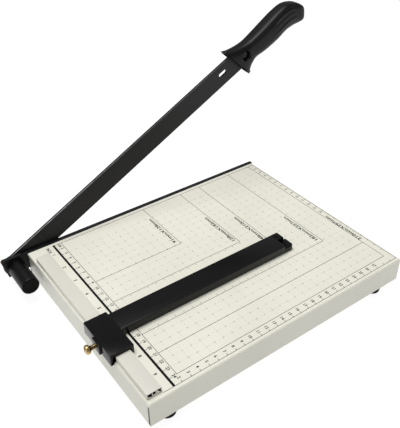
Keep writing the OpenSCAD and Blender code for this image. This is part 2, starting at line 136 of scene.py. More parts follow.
# Edges that turn by more than this many degrees are sharp
CREASE = 35


def mesh_object(name, verts, faces, crease=CREASE):
    """A mesh object at the origin, with outward normals and sharp edges past the crease angle."""
    mesh = bpy.data.meshes.new(name)
    mesh.from_pydata(np.asarray(verts, float).tolist(), [], faces)
    shape = bmesh.new()
    shape.from_mesh(mesh)
    bmesh.ops.remove_doubles(shape, verts=shape.verts, dist=1e-7)
    bmesh.ops.recalc_face_normals(shape, faces=shape.faces)
    shape.to_mesh(mesh)
    shape.free()
    mesh.shade_smooth()
    mesh.set_sharp_from_angle(angle=math.radians(crease))
    piece = bpy.data.objects.new(name, mesh)
    bpy.context.scene.collection.objects.link(piece)
    return piece


def skin(rings):
    """Vertices and faces of a closed tube: quads between neighbouring rings, a flat face on each end."""
    n, m = rings.shape[:2]
    index = np.arange(n * m).reshape(n, m)
    along = np.roll(index, -1, axis=1)
    quads = np.stack([index[:-1], along[:-1], along[1:], index[1:]], -1).reshape(-1, 4)
    return rings.reshape(-1, 3), quads.tolist() + [index[0][::-1].tolist(), index[-1].tolist()]


def loop(rings):
    """Vertices and faces of a closed profile carried round: quads only, the last ring being the first."""
    verts, faces = skin(rings)
    return verts, faces[:-2]


def join(*parts):
    """Several lists of vertices and faces as one, with the faces renumbered."""
    verts, faces, start = [], [], 0
    for part_verts, part_faces in parts:
        verts.append(np.asarray(part_verts, float).reshape(-1, 3))
        faces += [[i + start for i in face] for face in part_faces]
        start += len(verts[-1])
    return np.concatenate(verts), faces


def rounded(points, radius, steps=5, lead=0.0):
    """A polygon with each corner replaced by a quadratic curve that starts and ends one radius from it.

    A lead adds a point on the straight side at that distance before and after each corner.
    """
    p = np.asarray(points, float)
    r = np.broadcast_to(np.asarray(radius, float), (len(p),))[:, None]
    lead = np.broadcast_to(np.asarray(lead, float), (len(p),))[:, None]
    before = np.roll(p, 1, axis=0) - p
    after = np.roll(p, -1, axis=0) - p
    before /= np.linalg.norm(before, axis=1, keepdims=True)
    after /= np.linalg.norm(after, axis=1, keepdims=True)
    start, end = p + before * r, p + after * r
    t = np.linspace(0, 1, steps)[None, :, None]
    curve = (1 - t) ** 2 * start[:, None] + 2 * t * (1 - t) * p[:, None] + t ** 2 * end[:, None]
    if lead.any():
        first, last = (p + before * lead)[:, None], (p + after * lead)[:, None]
        curve = np.concatenate([first, curve, last], axis=1)
    return curve.reshape(-1, 2)


def inset(outline, distance):
    """A counter-clockwise outline moved inwards by a small distance along its normals."""
    tangent = np.roll(outline, -1, axis=0) - np.roll(outline, 1, axis=0)
    tangent /= np.linalg.norm(tangent, axis=1, keepdims=True) + 1e-12
    return outline - distance * np.stack([tangent[:, 1], -tangent[:, 0]], -1)


def bar_rings(outline, lo, hi, edge, steps=4):
    """An outline carried from depth lo to hi, with quarter-round edges at both ends: (ring, point, 3)."""
    a = np.linspace(0, math.pi / 2, steps)
    depth = np.concatenate([lo + edge * (1 - np.cos(a)), hi - edge * (1 - np.cos(a[::-1]))])
    step_in = np.concatenate([edge * (1 - np.sin(a)), edge * (1 - np.sin(a[::-1]))])
    rings = np.stack([inset(outline, d) for d in step_in])
    return np.concatenate([rings, np.broadcast_to(depth[:, None, None], rings.shape[:2] + (1,))], -1)


def turned(profile, sides):
    """A profile of radius and height turned round an axis: (ring, angle, 3) with the axis along z."""
    angle = np.linspace(0, 2 * math.pi, sides, endpoint=False)
    r, z = np.asarray(profile, float).T
    return np.stack([r[:, None] * np.cos(angle), r[:, None] * np.sin(angle),
                     np.broadcast_to(z[:, None], (len(r), sides))], -1)


def boxes(lo, hi):
    """Closed boxes from arrays of low and high corners, as vertices and faces."""
    lo, hi = np.atleast_2d(lo), np.atleast_2d(hi)
    pick = np.array([[i, j, k] for k in (0, 1) for j in (0, 1) for i in (0, 1)])
    verts = np.where(pick[None] == 1, hi[:, None], lo[:, None])
    face = np.array([[0, 2, 3, 1], [4, 5, 7, 6], [0, 1, 5, 4], [2, 6, 7, 3], [0, 4, 6, 2], [1, 3, 7, 5]])
    faces = face[None] + 8 * np.arange(len(lo))[:, None, None]
    return verts.reshape(-1, 3), faces.reshape(-1, 4).tolist()


def spline(rows, per):
    """A Catmull-Rom curve through rows of values, with per steps between each two rows."""
    held = np.concatenate([rows[:1], rows, rows[-1:]])
    a, b, c, d = (held[i:i + len(rows) - 1, None] for i in range(4))
    t = np.linspace(0, 1, per, endpoint=False)[None, :, None]
    curve = 0.5 * (2 * b + (c - a) * t + (2 * a - 5 * b + 4 * c - d) * t ** 2
                   + (3 * b - a - 3 * c + d) * t ** 3)
    return np.concatenate([curve.reshape(-1, rows.shape[1]), rows[-1:]])


def carve(piece, *cutters):
    """Cuts closed shapes out of a piece, keeps the cut mesh and drops the cutters."""
    for cutter in cutters:
        cut = piece.modifiers.new("cut", "BOOLEAN")
        cut.operation = "DIFFERENCE"
        cut.solver = "EXACT"
        cut.object = cutter
    bpy.context.view_layer.update()
    mesh = bpy.data.meshes.new_from_object(piece.evaluated_get(bpy.context.evaluated_depsgraph_get()))
    piece.modifiers.clear()
    piece.data = mesh
    for cutter in cutters:
        bpy.data.objects.remove(cutter)
    mesh.set_sharp_from_angle(angle=math.radians(CREASE))
    return piece


def mark(piece, name, values):
    """Stores one number for each vertex of a piece."""
    numbers = piece.data.attributes.new(name, "FLOAT", "POINT")
    numbers.data.foreach_set("value", np.asarray(values, np.float32))


def on_arm(points):
    """Points in the arm's own frame (along, across the thickness, up) placed in the object's frame."""
    s, y, t = np.moveaxis(np.asarray(points, float), -1, 0)
    c, d = math.cos(ARM_ANGLE), math.sin(ARM_ANGLE)
    return np.stack([PIVOT[0] + s * c - t * d, ARM_MID_Y + y, PIVOT[2] + s * d + t * c], -1)


def on_board(u, v):
    """A place on the board's top from its printed rulers: u mm along the cut, v mm from the cut."""
    return np.array([RULER_ZERO_X + u * MM, RULER_ZERO_Y - v * MM, BOARD_Z])


# Materials

# Painted shade on the board's walls: the factor that darkens their colour, fitted to the photograph, and the
# depths below the board's top between which it sets in
WALL_SHADE = 0.88
SHOULDER_TOP = 1 * MM
SHOULDER_FOOT = 3 * MM


def node(tree, kind, links=None, **settings):
    """Adds a shader node, sets its values and inputs, and links inputs to other nodes' outputs."""
    made = tree.nodes.new(kind)
    for key, value in settings.items():
        if key.startswith("in_"):
            socket = int(key[3:]) if key[3:].isdigit() else key[3:].replace("_", " ")
            made.inputs[socket].default_value = value
        else:
            setattr(made, key, value)
    for name, source in (links or {}).items():
        tree.links.new(made.inputs[name], source)
    return made


def new_material(name, rough, metallic=0.0, ior=1.5, coat=0.0, coat_rough=0.1, specular=0.5):
    """A material with a plain shader whose constants are set on its own sockets."""
    material = bpy.data.materials.new(name)
    material.use_nodes = True
    tree = material.node_tree
    shader = tree.nodes["Principled BSDF"]
    shader.inputs["Roughness"].default_value = rough
    shader.inputs["Metallic"].default_value = metallic
    shader.inputs["IOR"].default_value = ior
    shader.inputs["Coat Weight"].default_value = coat
    shader.inputs["Coat Roughness"].default_value = coat_rough
    shader.inputs["Specular IOR Level"].default_value = specular
    return material, tree, shader


def grain(tree, size_mm, detail, stretch=(1, 1, 1)):
    """Noise over the object's own coordinates whose features are about size_mm across."""
    place = node(tree, "ShaderNodeTexCoord")
    scaled = node(tree, "ShaderNodeMapping", {"Vector": place.outputs["Object"]}, in_Scale=stretch)
    return node(tree, "ShaderNodeTexNoise", {"Vector": scaled.outputs["Vector"]},
                in_Scale=1000 / size_mm, in_Detail=detail)


def tint(tree, factor, dark, light, lo=0.35, hi=0.65):
    """A colour between two, by a factor read between lo and hi."""
    ramp = node(tree, "ShaderNodeValToRGB", {"Fac": factor})
    ramp.color_ramp.elements[0].position = lo
    ramp.color_ramp.elements[1].position = hi
    ramp.color_ramp.elements[0].color = (*dark, 1)
    ramp.color_ramp.elements[1].color = (*light, 1)
    return ramp.outputs["Color"]


def scaled_colour(colour, amount):
    """A linear colour made darker or lighter."""
    return tuple(min(1.0, c * amount) for c in colour)


def relief(tree, shader, height, depth_mm, strength):
    """Gives a shader bumps from a height, at a real depth."""
    bump = node(tree, "ShaderNodeBump", {"Height": height},
                in_Strength=strength, in_Distance=depth_mm * MM)
    tree.links.new(shader.inputs["Normal"], bump.outputs["Normal"])


def vary_roughness(tree, shader, factor, lo, hi):
    """Lets the roughness drift between two values with a factor."""
    spread = node(tree, "ShaderNodeMapRange", {"Value": factor}, in_3=lo, in_4=hi)
    tree.links.new(shader.inputs["Roughness"], spread.outputs["Result"])


def baked_enamel(name, colour, rough, walls=1.0):
    """Baked enamel on sheet steel, sprayed: a soft orange peel about 2 mm across and slow colour drift.

    Below the board's shoulder the colour is multiplied by the factor walls, a painted shade that darkens the
    walls.
    """
    material, tree, shader = new_material(name, rough, coat=0.15, coat_rough=0.25)
    sprayed = tint(tree, grain(tree, 60, 2).outputs["Fac"], scaled_colour(colour, 0.95), colour)
    # Painted shade: below the shoulder the colour is scaled down to the factor walls
    place = node(tree, "ShaderNodeSeparateXYZ", {0: node(tree, "ShaderNodeTexCoord").outputs["Object"]})
    coat = node(tree, "ShaderNodeMapRange", {"Value": place.outputs["Z"]}, in_1=BOARD_Z - SHOULDER_FOOT,
                in_2=BOARD_Z - SHOULDER_TOP, in_3=walls, in_4=1.0)
    shade = node(tree, "ShaderNodeVectorMath", {0: sprayed, 3: coat.outputs["Result"]}, operation="SCALE")
    tree.links.new(shader.inputs["Base Color"], shade.outputs["Vector"])
    vary_roughness(tree, shader, grain(tree, 14, 3).outputs["Fac"], rough - 0.06, rough + 0.06)
    relief(tree, shader, grain(tree, 2.2, 2).outputs["Fac"], 0.03, 0.5)
    return material


def black_enamel(name, colour):
    """Satin black enamel on steel bar: fine powder texture, and a grey painted highlight along the edges by
    the edge attribute.
    """
    material, tree, shader = new_material(name, 0.42, specular=0.3)
    cloud = grain(tree, 18, 4)
    plain = tint(tree, cloud.outputs["Fac"], scaled_colour(colour, 0.8), scaled_colour(colour, 1.25))
    edge = node(tree, "ShaderNodeAttribute", attribute_name="edge")
    painted_highlight = node(tree, "ShaderNodeMath", {0: edge.outputs["Fac"], 1: grain(tree, 6, 4).outputs["Fac"]},
               operation="MULTIPLY")
    highlighted = node(tree, "ShaderNodeMix", {"Factor": painted_highlight.outputs[0]}, data_type="RGBA")
    tree.links.new(highlighted.inputs[6], plain)
    # Grey of the painted highlight on the arm's edges
    highlighted.inputs[7].default_value = (*linear("#A9AAAC"), 1)
    tree.links.new(shader.inputs["Base Color"], highlighted.outputs[2])
    vary_roughness(tree, shader, cloud.outputs["Fac"], 0.34, 0.5)
    relief(tree, shader, grain(tree, 0.8, 2).outputs["Fac"], 0.02, 0.5)
    return material


def moulded_plastic(name, colour, rough, shine):
    """Moulded ABS from a spark-textured tool: a fine grain, drawn 0.9 mm across so that it shows."""
    material, tree, shader = new_material(name, rough, ior=1.54, specular=shine)
    cloud = grain(tree, 22, 3)
    tree.links.new(shader.inputs["Base Color"],
                   tint(tree, cloud.outputs["Fac"], scaled_colour(colour, 0.85),
                        scaled_colour(colour, 1.2)))
    vary_roughness(tree, shader, cloud.outputs["Fac"], rough - 0.06, rough + 0.08)
    relief(tree, shader, grain(tree, 0.9, 2).outputs["Fac"], 0.04, 0.5)
    return material


def anodised_aluminium(name, colour):
    """Black anodised aluminium, drawn along X: long fine die lines and a soft sheen."""
    material, tree, shader = new_material(name, 0.26, ior=1.6, specular=0.2)
    lines = grain(tree, 1.2, 2, (0.02, 1, 1))
    tree.links.new(shader.inputs["Base Color"],
                   tint(tree, lines.outputs["Fac"], scaled_colour(colour, 0.8),
                        scaled_colour(colour, 1.25)))
    vary_roughness(tree, shader, lines.outputs["Fac"], 0.2, 0.32)
    relief(tree, shader, lines.outputs["Fac"], 0.02, 0.4)
    return material


def turned_brass(name, colour):
    """Turned brass: fine tool rings round the X axis and slight tarnish."""
    material, tree, shader = new_material(name, 0.24, metallic=1.0)
    rings = grain(tree, 0.5, 1, (1, 0.02, 0.02))
    tarnish = grain(tree, 3, 3)
    tree.links.new(shader.inputs["Base Color"],
                   tint(tree, tarnish.outputs["Fac"], scaled_colour(colour, 0.62), colour))
    vary_roughness(tree, shader, tarnish.outputs["Fac"], 0.18, 0.36)
    relief(tree, shader, rings.outputs["Fac"], 0.02, 0.4)
    return material


def spangled_metal(name, shade, rough):
    """Plated or blackened metal, and the near-black painted shade inside the rail's cells: a faint spangle
    about 3 mm across.
    """
    material, tree, shader = new_material(name, rough, metallic=1.0)
    spangle = grain(tree, 3, 4)
    tree.links.new(shader.inputs["Base Color"],
                   tint(tree, spangle.outputs["Fac"], scaled_colour(linear(shade), 0.75), linear(shade)))
    vary_roughness(tree, shader, spangle.outputs["Fac"], rough - 0.08, rough + 0.1)
    relief(tree, shader, grain(tree, 0.7, 2).outputs["Fac"], 0.01, 0.4)
    return material


def rubber(name):
    """Moulded black rubber: dull, with a faint bloom."""
    material, tree, shader = new_material(name, 0.8, ior=1.52, specular=0.08)
    bloom = grain(tree, 4, 4)
    tree.links.new(shader.inputs["Base Color"],
                   tint(tree, bloom.outputs["Fac"], linear("#050505"), linear("#0B0B0A")))
    relief(tree, shader, grain(tree, 0.8, 2).outputs["Fac"], 0.05, 0.5)
    return material


def printed_ink(name, colour):
    """Screen-printed ink, also used for the painted shadow at the corner seams: thin and slightly uneven in
    density.
    """
    material, tree, shader = new_material(name, 0.6, specular=0.1)
    density = grain(tree, 1.5, 2)
    tree.links.new(shader.inputs["Base Color"],
                   tint(tree, density.outputs["Fac"], colour, scaled_colour(colour, 1.6)))
    return material


def finish(piece, material, body, slot, *replaced):
    """Gives a piece its material and the body that it rides on, and hides the nodes that it stands for. The
    slot is not used.
    """
    piece.data.materials.clear()
    piece.data.materials.append(material)
    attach(piece, body)
    if replaced:
        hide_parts(*replaced)
    return piece


def dress(material, *names):
    """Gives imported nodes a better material."""
    for name in names:
        slots = NODES[name].data.materials
        slots.clear()
        slots.append(material)


# Sizes of the moulded and ground pieces, and the shapes that need several steps

# Painted shadow of the open joint at each folded corner: its two sides' distances from the corner, its reach
# into and out of the wall, and its ends below the board's top and above the shell's lower edge
SEAM_IN = 0.02 * MM
SEAM_WIDE = 2.4 * MM
SEAM_FILM = 0.02 * MM
SEAM_BELOW = 3.4 * MM
SEAM_ABOVE = 0.6 * MM
FOOT_WIDE = 20 * MM
FOOT_BORE = 7.4 * MM
RAIL_WALL = 0.8 * MM
# Height above the board at which the outer cell's floor meets its outer wall
RAIL_CELL_FLOOR = 2.6 * MM
RAIL_LEAN = 0.6 * MM
RAIL_PORT = 3 * MM
# Faces of the rail deeper than this carry the near-black painted shade inside its cells
RAIL_SKIN = 0.5 * MM
ARM_WIDE = 25.8 * MM
ARM_LONG = 352 * MM
# The arm's centre line lies this far below its pivot
ARM_DROP = 1.6 * MM
TANG_LONG = 64 * MM
TANG_WIDE = 15 * MM
# Height of the ground bevel, the flat left at the cutting edge, and the length over which the bevel sets in
BEVEL_HIGH = 5 * MM
BEVEL_FLAT = 0.6 * MM
GRIND_RUN = 3 * MM
SLOT_LONG = 12 * MM
SLOT_WIDE = 5.4 * MM
SLOT_AT = np.array([322.7, -0.5]) * MM
BOLT_WIDE = 8.1 * MM
CAP_WALL = 1.6 * MM
CAP_END = 2 * MM
# Depth of the dish in the pivot cap's end, and of the band of its end that is duller than its side
CAP_DISH = 0.5 * MM
CAP_DULL = 1 * MM
HANDLE_START = 344 * MM
HANDLE_LONG = 110.5 * MM
HANDLE_SCREW = np.array([356, 1.8]) * MM
SCREW_RECESS = 10 * MM
GUARD_LIP = 1.3 * MM
GUARD_HOLLOW = 3 * MM
# Where the two recesses start, on the near side for the screw's head and on the far side for its nut
RECESS_FROM = (-4 * MM, 6 * MM)
THUMB_SHANK = 4.4 * MM
THUMB_DOME = 1.6 * MM
THUMB_CHAMFER = 0.4 * MM
# Depth and half width of the slot in the thumb screw's head
THUMB_SLOT = (1.2 * MM, 0.6 * MM)
# The guide head: its wall, its skirt's place inside the head's box and reach below the board, its play on
# the rail, and the lean of its inner side
HEAD_WALL = 3 * MM
SKIRT_IN = 2.2 * MM
SKIRT_BELOW = 3 * MM
HEAD_PLAY = 0.15 * MM
HEAD_LEAN = 0.3 * MM
# Reach of its boss in front of, behind and below the screw's axis, its step down, and its root in the head
BOSS_FRONT = 8.4 * MM
BOSS_BACK = 5 * MM
BOSS_BELOW = 5 * MM
BOSS_STEP = 0.8 * MM
BOSS_ROOT = 1 * MM
# The guide bar's end cap: gap to the bar, share of the width in front, share of the height there, overlap of
# the halves, the back half's end at its foot and at its top, and the front half's cut corner
END_GAP = 0.02 * MM
END_SPLIT = 0.55
END_LOW = 0.64
END_LAP = 0.6 * MM
END_FOOT = 2 * MM
END_TOP = 3.2 * MM
END_CUT = 2.4 * MM
# Grip ridges: their places and width, as sines of the angle round the grip
RIDGE_AT = np.array([0.30, 0.08, -0.14])
RIDGE_WIDE = 0.045
# Handle stations: share of the length, centre height, half height and half thickness in mm, and lean
HANDLE_STATIONS = np.array([
    [0.00, -2.6, 25.5, 9.5, 0.38],
    [0.04, -2.0, 21.1, 10.0, 0.36],
    [0.12, -1.2, 15.9, 10.6, 0.26],
    [0.22, -0.9, 13.0, 10.6, 0.14],
    [0.36, -1.3, 13.9, 11.6, 0.04],
    [0.54, -0.5, 15.1, 12.0, 0.0],
    [0.68, 0.8, 15.0, 11.6, 0.0],
    [0.80, -0.63, 15.4, 11.1, -0.06],
    [0.90, -5.7, 13.4, 10.2, -0.2],
    [0.967, -11.2, 9.2, 8.4, -0.36],
    [0.996, -13.0, 4.5, 3.8, -0.44],
    [1.0, -13.2, 1.5, 1.3, -0.44]])


def blade_ring(s, half, thick, ground):
    """Section of the arm at s: a plate with rubbed corners, its lower far side ground away by a share."""
    step = max(ground, 0.03)
    corners = [(-thick, -half), (-thick + BEVEL_FLAT + (2 * thick - BEVEL_FLAT) * (1 - step), -half),
               (thick, -half + BEVEL_HIGH * step), (thick, half), (-thick, half)]
    radius, lead = np.array([[0.1, 0.02, 0.02, 0.35, 0.4], [0.25, 0.06, 0.06, 0.8, 0.8]]) * MM
    y, t = rounded(corners, radius, 4, lead).T
    return np.stack([np.full(len(y), s), y, t - ARM_DROP], -1)


def guide_head():
    """The saddle over the rail: its section carried along the rail, and a boss that the screw enters."""
    lo, hi = (np.array(corner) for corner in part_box("guide_head"))
    bar_lo = np.array(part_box("guide_bar")[0])
    screw_lo, screw_hi = (np.array(corner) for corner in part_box("thumb_screw"))
    rail_hi = np.array(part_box("fence_rail")[1])
    left, right, top, wall = lo[0] + SKIRT_IN, bar_lo[0], hi[2], HEAD_WALL
    under, foot = rail_hi[2] + HEAD_PLAY, BOARD_Z - SKIRT_BELOW
    corners = [(left, foot), (left + wall, foot), (left + wall, under), (right - wall - HEAD_LEAN, under),
               (right - wall, bar_lo[2]), (right, bar_lo[2]), (right, top), (left, top)]
    section = rounded(corners, np.array([0.5, 0.4, 0.3, 0.3, 0.3, 0.4, 0.9, 0.9]) * MM, 6)
    saddle = bar_rings(section, lo[1], hi[1], 0.5 * MM)[..., [0, 2, 1]]
    middle = (screw_lo[1] + screw_hi[1]) / 2
    axis_z = (screw_lo[2] + screw_hi[2]) / 2
    front, back, low, high = middle - BOSS_FRONT, middle + BOSS_BACK, axis_z - BOSS_BELOW, top - BOSS_STEP
    boss = rounded([(front, low), (back, low), (back, high), (front, high)], 0.8 * MM, 5)
    boss = bar_rings(boss, lo[0], left + BOSS_ROOT, 0.5 * MM)[..., [2, 0, 1]]
    return mesh_object("saddle_head", *join(skin(saddle), skin(boss)))


def end_cap(lo, hi):
    """The bar's end: a high back half with a sloped end, and a low, longer front half with a cut corner."""
    x0, x1, y0, y1 = hi[0] + END_GAP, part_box("guide_end_cap")[1][0], lo[1], hi[1]
    split, high, low = y0 + (y1 - y0) * END_SPLIT, hi[2], lo[2] + (hi[2] - lo[2]) * END_LOW
    back = rounded([(x0, lo[2]), (x1 - END_FOOT, lo[2]), (x1 - END_TOP, high), (x0, high)],
                   np.array([0.2, 0.4, 1.2, 0.2]) * MM, 6)
    back = bar_rings(back, split, y1, 0.5 * MM)[..., [0, 2, 1]]
    front = rounded([(x0, y0), (x1 - END_CUT, y0), (x1, y0 + END_CUT), (x1, split + END_LAP),
                     (x0, split + END_LAP)], np.array([0.2, 0.8, 0.8, 0.6, 0.2]) * MM, 5)
    front = bar_rings(front, lo[2], low, 0.7 * MM)
    return mesh_object("stepped_end_cap", *join(skin(back), skin(front)))


# Printed rulers

# Where the front line starts, beside the rail, and the print's heavy and thin lines, in ruler millimetres
RAIL_U = 0.8
HEAVY_U = 11.7
INNER_U = 20.8
FAR_INNER_U = 290.5
FAR_OUTER_U = 298.6
BACK_V = 10.6
FRONT_INNER_V = 239.6
FRONT_V = 249.4
# Standard sheets drawn on the board: the edge along the cut and the edge from the cut, in millimetres
SHEETS = [(128, 91), (182, 128), (210, 148), (257, 182), (297, 210)]
INCH = 25.4
# Ticks, from the line that they stand on: start and end beside the heavy line, and lengths at the other two
SIDE_TICK = (1.6, 3.6)
FRONT_TICK = 2.2
FAR_TICK = 2
# Centres of the numerals from the heavy line, the front line and the far inner line, and of the inch
# numerals from the zero mark
SIDE_NUMERAL = 6
FRONT_NUMERAL = 5.6
FAR_NUMERAL = 3.6
INCH_NUMERAL = 5.2
# Centres of the unit words, and the length of the longer one
INCH_WORD = (3.8, 15.4)
CM_WORD = (HEAVY_U + 5.6, 13.6)
INCH_LONG = 9.5 * MM
# Words of the sheet sizes: distances in from the sheet's corner, and their length
SIZE_IN = (4.2, 32)
SIZE_LONG = 54 * MM
# Capital height of the font as a share of its size, and how much the strokes are fattened
CAPITAL = 0.69
FATTEN = 0.03
# Lines from back to front are thicker by this factor, so that strips that meet at a corner share no edge
CROSS_FILM = 1.05


def strokes(rows, width):
    """Straight printed lines from rows of (u0, v0, u1, v1), as thin closed strips of ink."""
    rows = np.atleast_2d(np.asarray(rows, float))
    half = width / MM / 2
    u = np.sort(rows[:, [0, 2]], axis=1) + [-half, half]
    v = np.sort(rows[:, [1, 3]], axis=1) + [-half, half]
    film = sizes().ink_film * np.where(rows[:, 0] == rows[:, 2], CROSS_FILM, 1)
    board = np.full(len(u), BOARD_Z)
    lo = np.stack([RULER_ZERO_X + u[:, 0] * MM, RULER_ZERO_Y - v[:, 1] * MM, board], -1)
    hi = np.stack([RULER_ZERO_X + u[:, 1] * MM, RULER_ZERO_Y - v[:, 0] * MM, BOARD_Z + film], -1)
    return boxes(lo, hi)


def lettering(text, height, u, v, turn, long=0.0):
    """Numerals or words as thin closed ink, centred at a place, turned by an angle and set to a length."""
    curve = bpy.data.curves.new("numeral", "FONT")
    curve.body = text
    curve.size = height / CAPITAL
    curve.align_x = "CENTER"
    curve.align_y = "CENTER"
    curve.extrude = sizes().ink_film / 2
    curve.offset = height * FATTEN
    curve.resolution_u = 3
    holder = bpy.data.objects.new("numeral", curve)
    bpy.context.scene.collection.objects.link(holder)
    bpy.context.view_layer.update()
    mesh = bpy.data.meshes.new_from_object(holder.evaluated_get(bpy.context.evaluated_depsgraph_get()))
    flat = np.empty(len(mesh.vertices) * 3)
    mesh.vertices.foreach_get("co", flat)
    flat = flat.reshape(-1, 3)
    if long:
        flat[:, 0] *= long / np.ptp(flat[:, 0])
    c, s = math.cos(math.radians(turn)), math.sin(math.radians(turn))
    place = on_board(u, v) + [0, 0, sizes().ink_film / 2]
    x, y, z = flat.T
    verts = np.stack([x * c - y * s, x * s + y * c, z], -1) + place
    faces = [list(face.vertices) for face in mesh.polygons]
    bpy.data.objects.remove(holder)
    bpy.data.curves.remove(curve)
    bpy.data.meshes.remove(mesh)
    return verts, faces


def counted(centres, height, place):
    """Centimetre numerals at ruler values, each set where place puts its value."""
    return [lettering(str(int(value // 10)), height, *place(value), -90) for value in centres]


class TRIMMER_OT_print(bpy.types.Operator):
    """Prints the rulers, sheet outlines and grid on the board"""
    bl_idname = "trimmer.print"
    bl_label = "Printed rulers"

    def execute(self, context):
        line, tall = sizes().line, sizes().numeral
        ink = printed_ink("screen_printed_ink", tuple(colours().ink))
        pale = printed_ink("pale_printed_ink", linear("#C4C2B5"))
        grey = printed_ink("grey_printed_ink", linear("#9C9A8F"))

        heavy = strokes([(HEAVY_U, BACK_V, HEAVY_U, FRONT_V - 1)], sizes().bar)
        frame_rows = [(HEAVY_U, BACK_V, FAR_OUTER_U, BACK_V), (RAIL_U, FRONT_V, FAR_OUTER_U, FRONT_V),
                      (INNER_U, BACK_V, INNER_U, FRONT_INNER_V),
                      (FAR_INNER_U, BACK_V, FAR_INNER_U, FRONT_INNER_V),
                      (FAR_OUTER_U, BACK_V, FAR_OUTER_U, FRONT_V),
                      (INNER_U, FRONT_INNER_V, FAR_INNER_U, FRONT_INNER_V)]
        sheet_rows = [(u, BACK_V, u, v) for u, v in SHEETS if u < FAR_INNER_U]
        sheet_rows += [(INNER_U, v, min(u, FAR_INNER_U), v) for u, v in SHEETS]
        cm = np.arange(20, 250, 10)
        side_ticks = [(HEAVY_U + SIDE_TICK[0], v, HEAVY_U + SIDE_TICK[1], v) for v in cm]
        front_ticks = [(u, FRONT_V - FRONT_TICK, u, FRONT_V) for u in np.arange(20, 295, 10)]
        far_ticks = [(FAR_OUTER_U - FAR_TICK, v, FAR_OUTER_U, v) for v in cm[:-1]]
        lines = mesh_object("printed_lines", *join(
            heavy, strokes(frame_rows + sheet_rows + side_ticks + front_ticks + far_ticks, line)))
        finish(lines, ink, "base", "cream_enamel")

        words = counted(cm, tall * 0.9, lambda v: (HEAVY_U + SIDE_NUMERAL, v))
        words += counted(np.arange(20, 280, 10), tall * 0.9, lambda u: (u, FRONT_V - FRONT_NUMERAL))
        words += counted(np.arange(20, 150, 10), tall * 0.8, lambda v: (FAR_INNER_U + FAR_NUMERAL, v))
        words += [lettering(str(i), tall, INCH_NUMERAL, INCH * i, -90) for i in range(1, 10)]
        words.append(lettering("INCH", tall, *INCH_WORD, -90, INCH_LONG))
        words.append(lettering("CM", tall * 0.8, *CM_WORD, -90))
        words += [lettering(f"{v}mmX{u}mm", tall * 1.15, u - SIZE_IN[0], v - SIZE_IN[1], 90, SIZE_LONG)
                  for u, v in SHEETS]
        finish(mesh_object("printed_numerals", *join(*words)), ink, "base", "cream_enamel")

        step = np.arange(30, FRONT_INNER_V - 4, 10)
        across = np.arange(30, FAR_INNER_U - 4, 10)
        grid_rows = [(INNER_U + 1, v, FAR_INNER_U - 1, v) for v in step]
        grid_rows += [(u, BACK_V + 1, u, FRONT_INNER_V - 1) for u in across]
        grid = mesh_object("printed_grid", *strokes(grid_rows, line * 0.6))
        grid.data.transform(Matrix.Translation((0, 0, -0.5 * sizes().ink_film)))
        finish(grid, pale, "base", "cream_enamel")
        u, v = (axis.ravel() for axis in np.meshgrid(across, step))
        dots = strokes(np.stack([u - 0.2, v, u + 0.2, v], -1), line * 2)
        finish(mesh_object("printed_dots", *dots), grey, "base", "cream_enamel")
        return {"FINISHED"}


# Board, rail, fasteners and feet

def corner_seams():
    """A strip of painted shadow on the end walls at each folded corner, in place of the open joint: one is
    seen, the other three are made alike.
    """
    low, high = SHELL_LO[2] + SEAM_ABOVE, SHELL_HI[2] - SEAM_BELOW
    strips = []
    for x in (SHELL_LO[0], SHELL_HI[0]):
        for y, inward in ((SHELL_LO[1], 1), (SHELL_HI[1], -1)):
            near, far = np.sort([y + inward * SEAM_IN, y + inward * SEAM_WIDE])
            outline = [(near, low), (far, low), (far, high), (near, high)]
            strips.append(skin(np.stack([np.insert(outline, 0, x + depth, axis=1)
                                         for depth in (-SEAM_FILM, SEAM_FILM)])))
    return mesh_object("corner_seams", *join(*strips))


def rail():
    """The drawn rail: a flat bar with a four-sided and a three-sided cell and a square port cut along it."""
    lo, hi = (np.array(corner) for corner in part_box("fence_rail"))
    (x0, y0, z0), (x1, y1, z1) = lo, hi
    top, wall, port = x1 - RAIL_LEAN, RAIL_WALL, RAIL_PORT
    high, low, mid = z1 - wall, z0 + wall, (x0 + top) / 2
    wide = mid - port / 2 - x0 - 2 * wall
    outside = rounded([(x0, z0), (x1, z0), (top, z1), (x0, z1)], np.array([0.1, 0.1, 0.4, 0.4]) * MM, 5)
    piece = mesh_object("drawn_rail", *skin(bar_rings(outside, y0, y1, 0.15 * MM)[..., [0, 2, 1]]))
    cells = [[(x0 + wall, z0 + RAIL_CELL_FLOOR), (x0 + wall + wide, low), (x0 + wall + wide, high),
              (x0 + wall, high)],
             [(top - wall, low), (top - wall, high), (top - wall - wide, high)],
             [(mid - port / 2, high - port), (mid + port / 2, high - port), (mid + port / 2, high),
              (mid - port / 2, high)]]
    ends = np.array([y0 - 1 * MM, y1 + 1 * MM])
    cuts = [np.stack([np.insert(np.array(cell), 1, y, axis=1) for y in ends]) for cell in cells]
    carve(piece, *[mesh_object("cell_cut", *skin(cut)) for cut in cuts])
    return piece


class TRIMMER_OT_board(bpy.types.Operator):
    """Finishes the enamelled board and makes its side rail"""
    bl_idname = "trimmer.board"
    bl_label = "Board and rail"

    def execute(self, context):
        dress(baked_enamel("baked_cream_enamel", tuple(colours().cream), 0.42, WALL_SHADE), "base_shell")
        # The corner seams are painted shadow, in a flat dark grey
        finish(corner_seams(), printed_ink("seam_shadow", linear("#56544E")), "base", "cream_enamel")
        drawn = finish(rail(), baked_enamel("satin_rail_enamel", tuple(colours().rail), 0.48), "base",
                       "rail_enamel", "fence_rail")
        # Painted shade: the faces inside the rail's cells are made near black
        drawn.data.materials.append(spangled_metal("painted_shade_rail_inside", "#0E0E0E", 0.7))
        lo, hi = (np.array(corner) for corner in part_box("fence_rail"))
        for face in drawn.data.polygons:
            centre = np.array(face.center)
            inside = (centre - lo > RAIL_SKIN) & (hi - centre > RAIL_SKIN)
            face.material_index = int(inside[0] and inside[2] and abs(face.normal.y) < 0.5)
        return {"FINISHED"}


